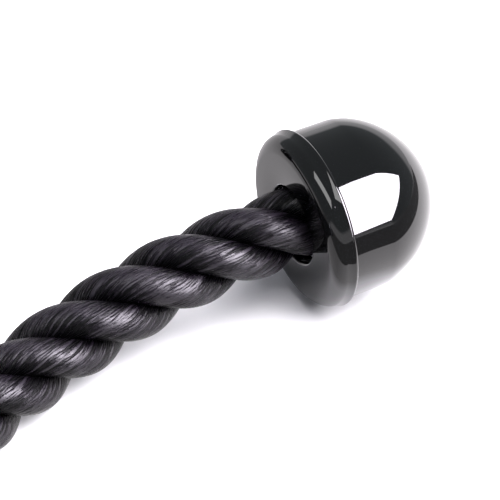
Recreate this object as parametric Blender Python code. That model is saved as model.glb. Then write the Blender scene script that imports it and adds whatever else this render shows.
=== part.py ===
"""Triceps rope attachment for a cable machine.

A thick three-strand rope is folded in half. A pressed steel sleeve clamps the two legs just below the
fold, a grooved saddle lines the fold, and a welded ring runs through it for the machine's snap hook.
Each leg ends in a moulded ball: a collar that the rope enters and a hollow dome screwed onto it. Inside,
the rope's taped end sits in a swaged ferrule that pulls up against a steel washer in the collar.

The part lies on a surface at z = 0 in the shape of a V, opening towards +Y, with the ring towards -Y.
"""

import math

import bmesh
import bpy
from mathutils import Matrix, Vector

MM = 0.001
DEG = math.radians(1.0)

# Shared clearances
CLEARANCE = 0.3 * MM
RUNNING_GAP = 0.4 * MM

# Rope
ROPE_DIAMETER = 28.6 * MM
ROPE_RADIUS = ROPE_DIAMETER / 2
LEG_GAP = 0.6 * MM
LEG_OFFSET = (ROPE_DIAMETER + LEG_GAP) / 2
ROPE_STATION = 10.0 * MM
ROPE_STUB = 3.0 * MM
ROPE_BEVEL_RESOLUTION = 4

# The right leg's free route, from the sleeve's mouth to the ball's bore; the left leg is its mirror image.
# The points are shares, chosen by hand: outwards of the spread, along of the reach, and up. Up is 0 where
# the rope lies on the surface, -1 at the sleeve's height and 1 at the bore's.
LEG_SPREAD = 90.2 * MM
LEG_REACH = 196.8 * MM
LEG_REST_GAP = 0.1 * MM
LEG_ROUTE_SHARES = [
    (0.0000, 0.0000, -1.000),
    (0.0000, 0.0457, -1.000),
    (0.0067, 0.1067, -0.815),
    (0.0211, 0.1728, -0.444),
    (0.0443, 0.2525, -0.111),
    (0.0776, 0.3323, 0.000),
    (0.1220, 0.4111, 0.000),
    (0.1785, 0.4883, 0.025),
    (0.2461, 0.5625, 0.103),
    (0.3282, 0.6336, 0.221),
    (0.4213, 0.7012, 0.373),
    (0.5233, 0.7647, 0.540),
    (0.6364, 0.8257, 0.702),
    (0.7561, 0.8841, 0.844),
    (0.8813, 0.9396, 0.957),
    (0.9407, 0.9698, 0.991),
    (1.0000, 1.0000, 1.000),
]
FLEX_END_INDEX = 5
PIVOT_INDEX = 3

# Pressed sleeve
SLEEVE_MOUTH_Y = -65.0 * MM
SLEEVE_LENGTH = 38.0 * MM
SLEEVE_WALL = 2.5 * MM
SLEEVE_EDGE = 0.8 * MM
SLEEVE_END_BAND = 9.0 * MM
CRIMP_DEPTH = 5.0 * MM
CRIMP_HALF_WIDTH = 10.0 * MM
CRIMP_RAMP = 7.0 * MM
SLEEVE_ROUND_STEPS = 12
CRIMP_ACROSS_STEPS = 8
CRIMP_RAMP_STEPS = 3

# Fold, its saddle and the ring
FOLD_RADIUS = 22.0 * MM
FOLD_THROAT = 21.7 * MM
FOLD_STEP = 15.0 * DEG
SADDLE_WALL = 1.5 * MM
SADDLE_ARM = 4.0 * MM
SADDLE_WRAP = 62.0 * DEG
SADDLE_WRAP_STEPS = 8
RING_WIRE = 8.0 * MM
RING_BORE = 48.0 * MM
RING_LEAN = 20.0 * DEG
RING_STEPS = 44
RING_WIRE_STEPS = 12

# Ball: the rim is the widest edge and its plane is the datum for the lengths along the ball's axis
RIM_DIAMETER = 70.0 * MM
RIM_EDGE = 0.6 * MM
COLLAR_DEPTH = 8.5 * MM
BAND_DEPTH = 3.0 * MM
BAND_DRAFT = 0.3 * MM
FACE_DIAMETER = 56.0 * MM
BORE_GAP = 1.3 * MM
BORE_EDGE = 0.8 * MM
SHOULDER_POWER = 1.8
SHOULDER_STEPS = 5
FRONT_WALL = 6.0 * MM
SPIGOT_WALL = 4.0 * MM
SPIGOT_LENGTH = 13.0 * MM
COUNTERBORE_GAP = 2.1 * MM
DOME_DIAMETER = 66.2 * MM
DOME_STRAIGHT = 16.9 * MM
DOME_CROWN = 30.9 * MM
DOME_POWER = 1.8
DOME_STEPS = 9
DOME_CAVITY_STEPS = 7
DOME_WALL = 4.0 * MM
DOME_LAND_OVERRUN = 1.0 * MM
BALL_STEPS = 40
BALL_TILT = 1.5 * DEG

# Rope end inside the ball
WASHER_THICKNESS = 1.6 * MM
WASHER_SIDE_GAP = 0.4 * MM
WASHER_BORE_GAP = 1.2 * MM
FERRULE_LENGTH = 22.0 * MM
FERRULE_WALL = 2.4 * MM
FERRULE_GROOVE = 0.9 * MM
FERRULE_GROOVES = 3
TAPE_THICKNESS = 0.6 * MM
MELTED_END_FLARE = 2.4 * MM
MELTED_END_LENGTH = 6.0 * MM
MELTED_END_CROWN = 1.5 * MM
INNER_STEPS = 32

# Colours, as linear red, green and blue
NYLON_BLACK = (0.012, 0.011, 0.014)
MOULDED_BLACK = (0.010, 0.010, 0.011)
ZINC = (0.55, 0.56, 0.58)
STEEL = (0.42, 0.43, 0.45)
TAPE_BLACK = (0.020, 0.020, 0.022)

LEG_REST_Z = ROPE_RADIUS + LEG_REST_GAP
SLEEVE_AXIS_Z = ROPE_RADIUS + CLEARANCE + SLEEVE_WALL
SLEEVE_END_Y = SLEEVE_MOUTH_Y - SLEEVE_LENGTH
FOLD_CENTRE_Y = SLEEVE_END_Y - FOLD_THROAT
FOLD_TIP_Y = FOLD_CENTRE_Y - FOLD_RADIUS
SADDLE_INNER = ROPE_RADIUS + CLEARANCE
SADDLE_OUTER = SADDLE_INNER + SADDLE_WALL
RING_CENTRELINE = (RING_BORE + RING_WIRE) / 2
RING_PLAY = RING_BORE / 2 - SADDLE_OUTER - RUNNING_GAP
RING_CENTRE_Z = RING_BORE / 2 + RING_WIRE
FOLD_TIP_Z = RING_CENTRE_Z - RING_PLAY * math.cos(RING_LEAN)
RIM_RADIUS = RIM_DIAMETER / 2
BALL_CENTRE_Z = RIM_RADIUS * math.cos(BALL_TILT) + RIM_EDGE * math.sin(BALL_TILT)
BALL_BORE_Z = BALL_CENTRE_Z - COLLAR_DEPTH * math.sin(BALL_TILT)
BORE_RADIUS = ROPE_RADIUS + BORE_GAP
FERRULE_INNER = ROPE_RADIUS + TAPE_THICKNESS + CLEARANCE * 2
FERRULE_OUTER = FERRULE_INNER + FERRULE_WALL
COUNTERBORE_RADIUS = FERRULE_OUTER + COUNTERBORE_GAP
SPIGOT_RADIUS = COUNTERBORE_RADIUS + SPIGOT_WALL


def clear_scene():
    """Remove every object that the file opens with."""
    for item in list(bpy.data.objects):
        bpy.data.objects.remove(item, do_unlink=True)


def finish_material(name, colour, roughness, metallic=0.0):
    """Make a Principled material with one colour, roughness and metallic value."""
    material = bpy.data.materials.new(name)
    material.use_nodes = True
    shader = material.node_tree.nodes["Principled BSDF"]
    shader.inputs["Base Color"].default_value = (*colour, 1.0)
    shader.inputs["Roughness"].default_value = roughness
    shader.inputs["Metallic"].default_value = metallic
    return material


def add_object(name, data, material, parent, location=(0, 0, 0), rotation=None):
    """Add an object at a place in the part's frame and hang it on its parent empty."""
    data.materials.append(material)
    item = bpy.data.objects.new(name, data)
    bpy.context.collection.objects.link(item)
    item.parent = parent
    item.location = Vector(location) - parent.location
    if rotation is not None:
        item.rotation_mode = "QUATERNION"
        item.rotation_quaternion = rotation
    return item


def add_pivot(name, location):
    """Add an empty that carries the pieces of one body, on its joint's axis."""
    empty = bpy.data.objects.new(name, None)
    empty.location = location
    bpy.context.collection.objects.link(empty)
    return empty


def mesh_from(bm, name, sharp=40.0 * DEG):
    """Close a bmesh into a mesh that is shaded smooth up to its sharp edges."""
    bmesh.ops.recalc_face_normals(bm, faces=bm.faces)
    mesh = bpy.data.meshes.new(name)
    bm.to_mesh(mesh)
    bm.free()
    mesh.shade_smooth()
    mesh.set_sharp_from_angle(angle=sharp)
    return mesh


def turned(name, profile, steps, closed):
    """Spin a profile of (radius, height) points about Z; a closed profile is a ring's section."""
    bm = bmesh.new()
    points = [bm.verts.new((radius, 0, height)) for radius, height in profile]
    last = len(points) if closed else len(points) - 1
    edges = [bm.edges.new((points[i], points[(i + 1) % len(points)])) for i in range(last)]
    bmesh.ops.spin(
        bm,
        geom=points + edges,
        cent=(0, 0, 0),
        axis=(0, 0, 1),
        angle=2 * math.pi,
        steps=steps,
        use_merge=True,
        use_duplicate=False,
    )
    bmesh.ops.remove_doubles(bm, verts=bm.verts, dist=CLEARANCE / 100)
    return mesh_from(bm, name)


def skinned(name, loops, closed):
    """Skin point loops of equal count; the row of loops is closed on itself or capped at both ends."""
    bm = bmesh.new()
    rows = [[bm.verts.new(point) for point in loop] for loop in loops]
    count = len(rows[0])
    last = len(rows) if closed else len(rows) - 1
    for r in range(last):
        here = rows[r]
        there = rows[(r + 1) % len(rows)]
        for i in range(count):
            j = (i + 1) % count
            bm.faces.new((here[i], here[j], there[j], there[i]))
    if not closed:
        bm.faces.new(rows[0])
        bm.faces.new(rows[-1])
    return mesh_from(bm, name)


def smooth_step(value):
    """Ease from 0 to 1 with level ends."""
    value = min(max(value, 0.0), 1.0)
    return value * value * (3 - 2 * value)


def spline_point(before, start, end, after, share):
    """A point on the Catmull-Rom curve between start and end."""
    square = share * share
    cube = square * share
    return (
        start * 2
        + (end - before) * share
        + (before * 2 - start * 5 + end * 4 - after) * square
        + (start * 3 - before - end * 3 + after) * cube
    ) / 2


def smooth_route(points, station):
    """Read points about one station apart from a smooth curve through the route's points."""
    route = [Vector(point) for point in points]
    route = [route[0] * 2 - route[1]] + route + [route[-1] * 2 - route[-2]]
    curve = []
    for i in range(1, len(route) - 2):
        steps = max(1, round((route[i + 1] - route[i]).length / station))
        for step in range(steps):
            curve.append(spline_point(*route[i - 1 : i + 3], step / steps))
    curve.append(route[-2])
    return curve


def mirrored(points):
    """The same points on the other side of the part's middle plane."""
    return [Vector((-point[0], point[1], point[2])) for point in points]


def rope_tube(name, points, material, parent):
    """A round rope along the points, with flat ends."""
    data = bpy.data.curves.new(name, "CURVE")
    data.dimensions = "3D"
    data.bevel_depth = ROPE_RADIUS
    data.bevel_resolution = ROPE_BEVEL_RESOLUTION
    data.use_fill_caps = True
    spline = data.splines.new("POLY")
    spline.points.add(len(points) - 1)
    for slot, point in zip(spline.points, points):
        slot.co = (*(Vector(point) - parent.location), 1.0)
    return add_object(name, data, material, parent, parent.location)


def leg_route():
    """The points of the right leg's free route."""
    route = []
    for outwards, along, up in LEG_ROUTE_SHARES:
        top = BALL_BORE_Z if up > 0 else SLEEVE_AXIS_Z
        height = LEG_REST_Z + (top - LEG_REST_Z) * abs(up)
        route.append(Vector((LEG_OFFSET + LEG_SPREAD * outwards, SLEEVE_MOUTH_Y + LEG_REACH * along, height)))
    return route


def leg_points():
    """The right leg's free route in two lines that meet squarely: its flexing root and its length."""
    route = leg_route()
    whole = smooth_route(route, ROPE_STATION)
    corner = route[FLEX_END_INDEX]
    split = min(range(len(whole)), key=lambda i: (whole[i] - corner).length)
    along = route[FLEX_END_INDEX + 1] - route[FLEX_END_INDEX - 1]
    along.normalize()
    gap = along * (CLEARANCE / 2)
    stub = along * ROPE_STUB
    flex = whole[:split] + [corner - stub, corner - gap]
    length = [corner + gap, corner + stub] + whole[split + 1 :]
    end = (length[-1] - length[-2]).normalized()
    length[-1] = length[-1] - end * CLEARANCE
    return flex, length


def fold_points():
    """The rope's route inside the sleeve and round the fold, from the right leg to the left one."""
    half = []
    sleeve_steps = round(SLEEVE_LENGTH / ROPE_STATION)
    for i in range(sleeve_steps):
        half.append((LEG_OFFSET, SLEEVE_MOUTH_Y - SLEEVE_LENGTH * i / sleeve_steps))
    throat_steps = round(2 * FOLD_THROAT / ROPE_STATION)
    for i in range(throat_steps):
        share = i / throat_steps
        spread = LEG_OFFSET + (FOLD_RADIUS - LEG_OFFSET) * smooth_step(share)
        half.append((spread, SLEEVE_END_Y - FOLD_THROAT * share))
    arc_steps = round(math.pi / 2 / FOLD_STEP)
    for i in range(arc_steps + 1):
        angle = math.pi / 2 * i / arc_steps
        half.append((FOLD_RADIUS * math.cos(angle), FOLD_CENTRE_Y - FOLD_RADIUS * math.sin(angle)))
    rise = FOLD_TIP_Z - SLEEVE_AXIS_Z
    right = []
    for x, y in half:
        climb = smooth_step((SLEEVE_END_Y - y) / (SLEEVE_END_Y - FOLD_TIP_Y))
        right.append(Vector((x, y, SLEEVE_AXIS_Z + rise * climb)))
    return right + list(reversed(mirrored(right[:-1])))


def sleeve_loop(grow, crimp, y):
    """The sleeve's outline at one place along it: two half rounds joined by flats that a press pinches."""
    radius = ROPE_RADIUS + CLEARANCE + grow
    across = [
        CRIMP_HALF_WIDTH * (2 * i / CRIMP_ACROSS_STEPS - 1) for i in range(CRIMP_ACROSS_STEPS + 1)
    ]
    loop = []
    for side in (1, -1):
        for i in range(SLEEVE_ROUND_STEPS + 1):
            angle = math.pi * (i / SLEEVE_ROUND_STEPS - 1 / 2)
            out = side * (LEG_OFFSET + radius * math.cos(angle))
            loop.append(Vector((out, y, SLEEVE_AXIS_Z + side * radius * math.sin(angle))))
        for x in reversed(across):
            pinch = crimp * math.cos(math.pi * x / (2 * CRIMP_HALF_WIDTH)) ** 2
            loop.append(Vector((side * x, y, SLEEVE_AXIS_Z + side * (radius - pinch))))
    return loop


def sleeve_mesh():
    """The oval sleeve, pressed to a waist between its two end bands."""
    stations = [(0.0, 0.0), (SLEEVE_EDGE, 0.0), (SLEEVE_END_BAND, 0.0)]
    for i in range(1, CRIMP_RAMP_STEPS + 1):
        share = i / CRIMP_RAMP_STEPS
        stations.append((SLEEVE_END_BAND + CRIMP_RAMP * share, CRIMP_DEPTH * smooth_step(share)))
    stations += [(SLEEVE_LENGTH - along, crimp) for along, crimp in reversed(stations)]
    loops = []
    for along, crimp in stations:
        at_end = along in (0.0, SLEEVE_LENGTH)
        grow = SLEEVE_WALL - (SLEEVE_EDGE if at_end else 0.0)
        loops.append(sleeve_loop(grow, crimp, SLEEVE_MOUTH_Y - along))
    for along, crimp in reversed(stations):
        loops.append(sleeve_loop(0.0, crimp, SLEEVE_MOUTH_Y - along))
    return skinned("sleeve", loops, closed=True)


def saddle_mesh():
    """The grooved liner of the fold: a shallow channel that follows the rope's inner side."""
    route = fold_points()
    limit = FOLD_CENTRE_Y + SADDLE_ARM + ROPE_STATION / 2
    inside = [i for i in range(1, len(route) - 1) if route[i].y < limit]
    angles = [
        SADDLE_WRAP * (2 * i / SADDLE_WRAP_STEPS - 1) for i in range(SADDLE_WRAP_STEPS + 1)
    ]
    loops = []
    for i in inside:
        along = (route[i + 1] - route[i - 1]).normalized()
        inward = along.cross(Vector((0, 0, 1))).normalized()
        up = inward.cross(along).normalized()
        if up.z < 0:
            up.negate()
        loop = []
        for radius, order in ((SADDLE_INNER, angles), (SADDLE_OUTER, angles[::-1])):
            for angle in order:
                loop.append(route[i] + (inward * math.cos(angle) + up * math.sin(angle)) * radius)
        loops.append(loop)
    return skinned("saddle", loops, closed=False)


def ring_mesh():
    """The welded ring, turned about X."""
    section = []
    for i in range(RING_WIRE_STEPS):
        angle = 2 * math.pi * i / RING_WIRE_STEPS
        radius = RING_CENTRELINE + RING_WIRE / 2 * math.cos(angle)
        section.append((radius, RING_WIRE / 2 * math.sin(angle)))
    mesh = turned("ring", section, RING_STEPS, closed=True)
    mesh.transform(Matrix.Rotation(math.pi / 2, 4, "Y"))
    return mesh


def crown_arc(radius, height, power, steps):
    """Points of a superellipse quarter, from its full radius at height 0 to its top."""
    arc = []
    for i in range(steps + 1):
        angle = math.pi / 2 * i / steps
        out = radius * max(math.cos(angle), 0.0) ** (2 / power)
        arc.append((0.0 if i == steps else out, height * math.sin(angle) ** (2 / power)))
    return arc


def collar_mesh():
    """The ball's rope side: bored face, rounded shoulder, rim band and the spigot inside the dome."""
    bore = BORE_RADIUS
    face = FACE_DIAMETER / 2
    band = RIM_RADIUS - BAND_DRAFT
    profile = [(bore, BORE_EDGE - COLLAR_DEPTH), (bore + BORE_EDGE, -COLLAR_DEPTH), (face, -COLLAR_DEPTH)]
    shoulder = crown_arc(band - face, COLLAR_DEPTH - BAND_DEPTH, SHOULDER_POWER, SHOULDER_STEPS)
    for out, drop in reversed(shoulder[:-1]):
        profile.append((face + out, -BAND_DEPTH - drop))
    seat = FRONT_WALL - COLLAR_DEPTH
    profile += [
        (RIM_RADIUS, -RIM_EDGE),
        (RIM_RADIUS, 0.0),
        (RIM_RADIUS - RIM_EDGE, RIM_EDGE),
        (SPIGOT_RADIUS, RIM_EDGE),
        (SPIGOT_RADIUS, SPIGOT_LENGTH - RIM_EDGE),
        (SPIGOT_RADIUS - RIM_EDGE, SPIGOT_LENGTH),
        (COUNTERBORE_RADIUS, SPIGOT_LENGTH),
        (COUNTERBORE_RADIUS, seat),
        (bore, seat),
    ]
    return turned("collar", profile, BALL_STEPS, closed=True)


def dome_mesh():
    """The ball's hollow dome, with a thick land that grips the collar's spigot."""
    mouth = RIM_EDGE + CLEARANCE
    land = SPIGOT_RADIUS + CLEARANCE
    land_end = SPIGOT_LENGTH + DOME_LAND_OVERRUN
    outer = DOME_DIAMETER / 2
    inner = outer - DOME_WALL
    crown = crown_arc(outer, DOME_CROWN, DOME_POWER, DOME_STEPS)
    cavity = crown_arc(inner, DOME_CROWN - DOME_WALL, DOME_POWER, DOME_CAVITY_STEPS)
    profile = [(out, DOME_STRAIGHT + up) for out, up in reversed(crown)]
    profile += [(outer, mouth), (land, mouth), (land, land_end - DOME_WALL / 2), (inner, land_end)]
    profile += [(out, DOME_STRAIGHT + up) for out, up in cavity]
    return turned("dome", profile, BALL_STEPS, closed=False)


def tube_profile(inner, outer, low, high):
    """The section of a plain ring."""
    return [(inner, low), (outer, low), (outer, high), (inner, high)]


def end_levels():
    """Heights of the pieces on the rope's end, along the ball's axis from its rim plane."""
    washer_low = FRONT_WALL - COLLAR_DEPTH + CLEARANCE
    ferrule_low = washer_low + WASHER_THICKNESS + CLEARANCE
    ferrule_high = ferrule_low + FERRULE_LENGTH
    return washer_low, ferrule_low, ferrule_high


def washer_mesh():
    """The steel washer that spreads the pull over the collar's seat."""
    low = end_levels()[0]
    inner = ROPE_RADIUS + WASHER_BORE_GAP
    outer = COUNTERBORE_RADIUS - WASHER_SIDE_GAP
    return turned("washer", tube_profile(inner, outer, low, low + WASHER_THICKNESS), INNER_STEPS, closed=True)


def ferrule_mesh():
    """The swaged ferrule on the rope's end, with the grooves that the press leaves."""
    low, high = end_levels()[1:]
    grooved = FERRULE_OUTER - FERRULE_GROOVE
    profile = [(FERRULE_INNER, low), (FERRULE_OUTER, low)]
    pitch = FERRULE_LENGTH / (2 * FERRULE_GROOVES + 1)
    for i in range(FERRULE_GROOVES):
        start = low + pitch * (2 * i + 1)
        profile.append((FERRULE_OUTER, start))
        profile.append((grooved, start + pitch / 3))
        profile.append((grooved, start + pitch * 2 / 3))
        profile.append((FERRULE_OUTER, start + pitch))
    profile += [(FERRULE_OUTER, high), (FERRULE_INNER, high)]
    return turned("ferrule", profile, INNER_STEPS, closed=True)


def tape_mesh():
    """The tape that keeps the strands together under the ferrule."""
    low, high = end_levels()[1:]
    inner = ROPE_RADIUS + CLEARANCE
    return turned("tape", tube_profile(inner, inner + TAPE_THICKNESS, low, high), INNER_STEPS, closed=True)


def rope_end_mesh():
    """The rope's stretch inside the ball, with its melted and flared end."""
    start = CLEARANCE - COLLAR_DEPTH
    flare = end_levels()[2] + CLEARANCE
    wide = ROPE_RADIUS + MELTED_END_FLARE
    profile = [
        (0.0, start),
        (ROPE_RADIUS, start),
        (ROPE_RADIUS, flare),
        (wide, flare + MELTED_END_LENGTH / 3),
        (wide, flare + MELTED_END_LENGTH * 2 / 3),
        (ROPE_RADIUS, flare + MELTED_END_LENGTH),
        (0.0, flare + MELTED_END_LENGTH + MELTED_END_CROWN),
    ]
    return turned("rope_end", profile, INNER_STEPS, closed=False)


def ball_axis(side):
    """The direction from a ball's bore to the top of its dome, in line with the rope's end."""
    before, mouth = leg_route()[-2:]
    heading = math.atan2(mouth.x - before.x, mouth.y - before.y)
    level = math.cos(BALL_TILT)
    return Vector((side * math.sin(heading) * level, math.cos(heading) * level, math.sin(BALL_TILT)))


def ball_centre(side):
    """The middle of a ball's rim plane; the rim rests on the surface."""
    mouth = leg_route()[-1]
    centre = Vector((side * mouth.x, mouth.y, 0)) + ball_axis(side) * COLLAR_DEPTH
    centre.z = BALL_CENTRE_Z
    return centre


def build_connector(root, steel, zinc, nylon):
    """The pieces that stay together at the rope's middle."""
    add_object("sleeve", sleeve_mesh(), zinc, root)
    add_object("fold_saddle", saddle_mesh(), steel, root)
    route = fold_points()
    inward = Vector((0, CLEARANCE, 0))
    rope_tube("rope_fold", [route[0] - inward] + route[1:-1] + [route[-1] - inward], nylon, root)


def build_ring(pivot, zinc):
    """The ring, leaning a little outwards with its lowest point on the surface."""
    lean = Vector((0, -math.sin(RING_LEAN), math.cos(RING_LEAN))) * RING_PLAY
    add_object("ring", ring_mesh(), zinc, pivot, pivot.location + lean)


def build_leg(side, label, root, pivot, finishes):
    """One leg: its flexing root, its swinging length and the ball with all that it holds."""
    flex, length = leg_points()
    if side < 0:
        flex, length = mirrored(flex), mirrored(length)
    rope_tube(f"rope_flex_{label}", flex, finishes["nylon"], root)
    rope_tube(f"rope_leg_{label}", length, finishes["nylon"], pivot)
    turn = ball_axis(side).to_track_quat("Z", "Y")
    pieces = (
        ("rope_end", rope_end_mesh, "nylon"),
        ("end_tape", tape_mesh, "tape"),
        ("end_ferrule", ferrule_mesh, "steel"),
        ("end_washer", washer_mesh, "zinc"),
        ("ball_collar", collar_mesh, "moulded"),
        ("ball_dome", dome_mesh, "moulded"),
    )
    for name, make, finish in pieces:
        add_object(f"{name}_{label}", make(), finishes[finish], pivot, ball_centre(side), turn)


def main():
    """Build the attachment."""
    clear_scene()
    finishes = {
        "nylon": finish_material("black nylon rope", NYLON_BLACK, 0.42),
        "moulded": finish_material("black moulded ball", MOULDED_BLACK, 0.12),
        "zinc": finish_material("zinc plated steel", ZINC, 0.28, 1.0),
        "steel": finish_material("plain steel", STEEL, 0.38, 1.0),
        "tape": finish_material("black tape", TAPE_BLACK, 0.5),
    }
    root = add_pivot("connector_frame", (0, SLEEVE_MOUTH_Y, SLEEVE_AXIS_Z))
    ring_pivot = add_pivot("ring_pivot", (0, FOLD_TIP_Y, FOLD_TIP_Z))
    build_connector(root, finishes["steel"], finishes["zinc"], finishes["nylon"])
    build_ring(ring_pivot, finishes["zinc"])
    for side, label in ((1, "right"), (-1, "left")):
        x, y, z = leg_route()[PIVOT_INDEX]
        pivot = add_pivot(f"leg_pivot_{label}", (side * x, y, z))
        bpy.context.view_layer.update()
        build_leg(side, label, root, pivot, finishes)
    bpy.context.view_layer.update()


main()
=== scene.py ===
"""Looks of the triceps rope attachment: a laid nylon rope, its moulded balls, sleeve, saddle and ring.

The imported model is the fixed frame. Every piece here stands in the place of the solid that it dresses.
"""

import logging
import math
from dataclasses import dataclass, replace
from enum import Enum
from functools import partialmethod
from itertools import accumulate
from typing import Callable, ClassVar, Sequence

import bmesh
import bpy
from mathutils import Matrix, Quaternion, Vector


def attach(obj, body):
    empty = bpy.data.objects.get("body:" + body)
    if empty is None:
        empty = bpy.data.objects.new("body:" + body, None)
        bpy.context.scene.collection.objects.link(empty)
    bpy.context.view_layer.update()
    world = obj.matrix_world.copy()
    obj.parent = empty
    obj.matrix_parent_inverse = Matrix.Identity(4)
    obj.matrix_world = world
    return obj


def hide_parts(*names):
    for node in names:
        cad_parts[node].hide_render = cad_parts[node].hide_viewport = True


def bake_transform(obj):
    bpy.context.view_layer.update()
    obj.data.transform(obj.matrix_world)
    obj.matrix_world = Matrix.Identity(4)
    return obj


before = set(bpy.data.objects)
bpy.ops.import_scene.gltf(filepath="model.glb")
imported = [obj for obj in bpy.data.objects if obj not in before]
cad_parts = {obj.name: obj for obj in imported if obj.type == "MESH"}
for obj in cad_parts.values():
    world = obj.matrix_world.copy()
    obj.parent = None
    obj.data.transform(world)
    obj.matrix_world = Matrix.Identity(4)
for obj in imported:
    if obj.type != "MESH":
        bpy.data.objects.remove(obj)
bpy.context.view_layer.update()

log = logging.getLogger("rope_attachment")

MM = 0.001
FULL_TURN = 2 * math.pi
UP = Vector((0, 0, 1))
SHARP = math.radians(35)
GRID_WELD = 0.001 * MM
SPUN_WELD = 0.003 * MM
BLACK = (0.0, 0.0, 0.0)
LAY_CHART = "lay"
FLANK_CHART = "flank"

Colour = tuple[float, float, float]
Range = tuple[float, float]
Noise = tuple[float, float, float]
Weights = dict[str, float]
Profile = list[tuple[float, float]]


class Slot(Enum):
    """The record's material slots."""

    ROPE = "rope"
    BALL = "ball"
    ZINC = "zinc"
    STEEL = "steel"
    TAPE = "tape"


class Side(Enum):
    """The two legs of the rope, as the sign of their X."""

    RIGHT = 1
    LEFT = -1

    @property
    def label(self) -> str:
        """The side's word in the names of nodes and bodies."""
        return self.name.lower()

    @property
    def body(self) -> str:
        """The body that the leg's far part rides on."""
        return f"leg_{self.label}"


class Shader:
    """A material's or a world's node tree, with one method that makes any node."""

    def __init__(self, name: str, world: bpy.types.World | None = None) -> None:
        """Start a material that holds only its Principled shader and output, or take over a world.

        Args:
            name: The material's name.
            world: The world, where the tree belongs to one.
        """
        self.material = world or bpy.data.materials.new(name)
        self.material.use_nodes = True
        self.tree = self.material.node_tree
        self.surface = self.tree.nodes["Background" if world else "Principled BSDF"]

    def node(
        self, kind: str, settings: dict | None = None, values: dict | None = None, output: int | str = 0
    ) -> "Term":
        """Make a node, apply its settings first and then fill its sockets.

        Args:
            kind: The node's type name.
            settings: Attributes of the node; for a colour ramp, "stops" is a list of place and colour.
            values: A number, colour, vector or Term for each input, by its name or index.
            output: The name or index of the output that is wanted.

        Returns:
            The node's output.
        """
        made = self.tree.nodes.new(kind)
        for key, value in (settings or {}).items():
            if key == "stops":
                ramp = made.color_ramp
                while len(ramp.elements) < len(value):
                    ramp.elements.new(1.0)
                for element, (place, colour) in zip(ramp.elements, value):
                    element.position = place
                    element.color = (*colour, 1.0)
            else:
                setattr(made, key, value)
        for key, value in (values or {}).items():
            self.feed(made.inputs[key], value)
        return Term(self, made.outputs[output])

    def feed(self, socket: bpy.types.NodeSocket, value: object) -> None:
        """Link a Term to a socket, or set the socket's own value.

        Args:
            socket: The input socket.
            value: A Term, or a value that the socket takes.
        """
        if isinstance(value, Term):
            self.tree.links.new(value.socket, socket)
        elif socket.type == "RGBA" and len(value) == 3:
            socket.default_value = (*value, 1.0)
        else:
            socket.default_value = value

    def set(self, **values: object) -> None:
        """Set or link inputs of the surface's shader; an underscore in a name stands for a space."""
        names = {name.lower().replace(" ", "_"): name for name in self.surface.inputs.keys()}
        for key, value in values.items():
            self.feed(self.surface.inputs[names[key]], value)

    def place(self, chart: str = "Object") -> "Term":
        """The point on the piece, in Object coordinates or others of Blender's own."""
        return self.node("ShaderNodeTexCoord", output=chart)

    def chart(self, name: str) -> tuple["Term", "Term"]:
        """The two coordinates of a UV map."""
        return self.parts(self.node("ShaderNodeUVMap", {"uv_map": name}))[:2]

    def parts(self, vector: "Term") -> list["Term"]:
        """Split a vector into its three numbers."""
        first = self.node("ShaderNodeSeparateXYZ", values={0: vector})
        return [Term(self, output) for output in first.socket.node.outputs]

    def vector(self, x: object, y: object, z: object = 0.0) -> "Term":
        """Join three numbers into a vector."""
        return self.node("ShaderNodeCombineXYZ", values={0: x, 1: y, 2: z})

    def noise(self, at: "Term", scale: float, detail: float, roughness: float = 0.5) -> "Term":
        """Soft noise between 0 and 1, from its cells in one unit, its octaves and their strength."""
        values = {"Vector": at, "Scale": scale, "Detail": detail, "Roughness": roughness}
        return self.node("ShaderNodeTexNoise", values=values)

    def scatter(self, at: "Term") -> "Term":
        """A random number between 0 and 1 for each whole value of the coordinates."""
        return self.node("ShaderNodeTexWhiteNoise", values={"Vector": at}, output="Value")

    def ramp(self, by: "Term", stops: list[tuple[float, Colour]]) -> "Term":
        """Colours picked by a value."""
        return self.node("ShaderNodeValToRGB", {"stops": stops}, {0: by})

    def span(self, by: "Term", low: float, high: float, start: float = 0.0, end: float = 1.0) -> "Term":
        """Stretch a value's range onto another, and hold it there."""
        return self.node("ShaderNodeMapRange", values={"Value": by, 1: low, 2: high, 3: start, 4: end})

    def blend(self, by: object, first: object, second: object) -> "Term":
        """Mix two colours."""
        return self.node("ShaderNodeMix", {"data_type": "RGBA"}, {0: by, 6: first, 7: second}, 2)

    def bump(self, height: "Term", depth: float, strength: float = 1.0, **under: "Term") -> "Term":
        """Turn a relief from 0 to 1 and its depth into a normal, which may lie on a coarser Normal."""
        values = {"Height": height, "Distance": depth, "Strength": strength, **under}
        return self.node("ShaderNodeBump", values=values)


class Term:
    """An output socket that is written as a number in an expression."""

    def __init__(self, shader: Shader, socket: bpy.types.NodeSocket) -> None:
        """Wrap a socket of a shader's tree."""
        self.shader = shader
        self.socket = socket

    def maths(self, operation: str, *others: object) -> "Term":
        """Add one Math node that works on this term and the others."""
        return self.shader.node("ShaderNodeMath", {"operation": operation}, dict(enumerate((self, *others))))

    def __rsub__(self, other: float) -> "Term":
        """What is left of a number when this term is taken from it."""
        return self.shader.node("ShaderNodeMath", {"operation": "SUBTRACT"}, {0: other, 1: self})

    __add__ = partialmethod(maths, "ADD")
    __sub__ = partialmethod(maths, "SUBTRACT")
    __mul__ = partialmethod(maths, "MULTIPLY")
    __truediv__ = partialmethod(maths, "DIVIDE")
    __pow__ = partialmethod(maths, "POWER")
    absolute = partialmethod(maths, "ABSOLUTE")
    fraction = partialmethod(maths, "FRACT")
    whole = partialmethod(maths, "FLOOR")
    root = partialmethod(maths, "SQRT")
    positive = partialmethod(maths, "MAXIMUM", 0.0)


def weighed(parts: dict[str, Term], weights: Weights) -> Term:
    """The sum of a pattern's parts that have a weight, each times its weight."""
    first, *others = (parts[name] * weight for name, weight in weights.items())
    return sum(others, first)


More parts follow.
